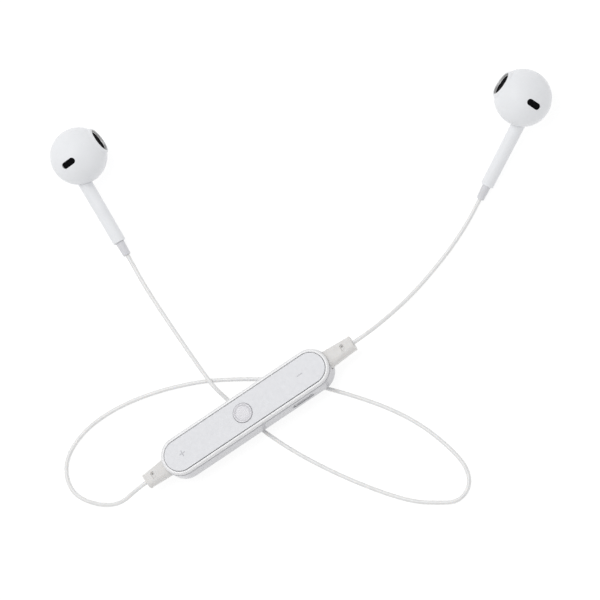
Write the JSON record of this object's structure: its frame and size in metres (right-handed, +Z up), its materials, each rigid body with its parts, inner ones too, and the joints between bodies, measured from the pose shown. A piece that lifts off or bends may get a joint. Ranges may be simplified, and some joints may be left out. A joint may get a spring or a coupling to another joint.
{
  "type": "neckband earphones",
  "caption": "White in-ear style wireless earphones: two ball-headed buds on a thin neck cord with a slim inline control case carrying a rocker plate and a round button.",
  "frame": {"origin": "middle of the control case's underside", "axes": "+X along the control case towards the right-hand bud, +Y towards the buds, +Z up out of the button face"},
  "size_m": [0.1844, 0.1586, 0.017],
  "materials": {
    "gloss_white": "gloss moulded",
    "plate_white": "satin moulded",
    "lower_shell_white": "gloss moulded",
    "bud_white": "gloss moulded",
    "soft_cream": "matte soft elastomer",
    "cord_jacket": "satin extruded elastomer",
    "sleeve_grey": "matte soft elastomer",
    "bezel_grey": "satin",
    "mesh_black": "fine woven mesh",
    "board_green": "solder mask",
    "foil_silver": "satin foil",
    "foam_grey": "foam",
    "wire_copper": "enamelled",
    "bright_steel": "plated",
    "moulded_black": "satin moulded",
    "led_white": "clear",
    "ceramic_grey": "sintered",
    "film_clear": "thin film"
  },
  "bodies": {
    "housing": {"battery_cell": "foil_silver", "battery_leads": "wire_copper", "battery_pad": "foam_grey", "board_passives": "ceramic_grey", "bottom_case": "lower_shell_white", "centre_switch_body": "bright_steel", "chip_antenna": "ceramic_grey", "circuit_board": "board_green", "crystal_can": "bright_steel", "left_cord_anchor": "cord_jacket", "left_cord_knot": "cord_jacket", "left_cord_sleeve": "sleeve_grey", "left_diaphragm": "film_clear", "left_driver_frame": "moulded_black", "left_driver_gasket": "foam_grey", "left_front_shell": "bud_white", "left_magnet": "bright_steel", "left_nozzle_bezel": "bezel_grey", "left_nozzle_mesh": "mesh_black", "left_pole_plate": "bright_steel", "left_rear_shell": "bud_white", "left_speaker_leads": "wire_copper", "left_strain_relief": "soft_cream", "left_vent_mesh": "mesh_black", "left_voice_coil": "wire_copper", "left_yoke_cup": "bright_steel", "microphone": "bright_steel", "minus_switch_body": "bright_steel", "neck_cord": "cord_jacket", "plus_switch_body": "bright_steel", "radio_chip": "moulded_black", "right_cord": "cord_jacket", "right_cord_anchor": "cord_jacket", "right_cord_knot": "cord_jacket", "right_cord_sleeve": "sleeve_grey", "right_diaphragm": "film_clear", "right_driver_frame": "moulded_black", "right_driver_gasket": "foam_grey", "right_front_shell": "bud_white", "right_magnet": "bright_steel", "right_nozzle_bezel": "bezel_grey", "right_nozzle_mesh": "mesh_black", "right_pole_plate": "bright_steel", "right_rear_shell": "bud_white", "right_speaker_leads": "wire_copper", "right_strain_relief": "soft_cream", "right_vent_mesh": "mesh_black", "right_voice_coil": "wire_copper", "right_yoke_cup": "bright_steel", "status_led": "led_white", "top_case": "gloss_white", "usb_shell": "bright_steel", "usb_tongue": "plate_white"},
    "rocker": {"rocker_plate": "plate_white"},
    "button": {"centre_button": "gloss_white"},
    "plus_plunger": {"plus_switch_plunger": "moulded_black"},
    "minus_plunger": {"minus_switch_plunger": "moulded_black"},
    "centre_plunger": {"centre_switch_plunger": "moulded_black"}
  },
  "joints": [
    {"name": "rocker_tilt", "type": "hinge", "parent": "housing", "child": "rocker", "pos_m": [-0.0006, 0, 0.0075], "axis": [0, 1, 0], "range_deg": [-0.65, 0.65], "stiffness_Nm_per_rad": 0.05},
    {"name": "button_press", "type": "slide", "parent": "housing", "child": "button", "axis": [0, 0, -1], "range_m": [0, 0.00025], "stiffness_N_per_m": 300},
    {"name": "plus_press", "type": "slide", "parent": "housing", "child": "plus_plunger", "axis": [0, 0, -1], "range_m": [-0.00025, 0.00025]},
    {"name": "minus_press", "type": "slide", "parent": "housing", "child": "minus_plunger", "axis": [0, 0, -1], "range_m": [-0.00025, 0.00025]},
    {"name": "centre_press", "type": "slide", "parent": "housing", "child": "centre_plunger", "axis": [0, 0, -1], "range_m": [0, 0.00025]}
  ],
  "couplings": [
    {"joint": "plus_press", "follows": "rocker_tilt", "m_per_rad": -0.0212},
    {"joint": "minus_press", "follows": "rocker_tilt", "m_per_rad": 0.0212},
    {"joint": "centre_press", "follows": "button_press", "ratio": 1}
  ]
}
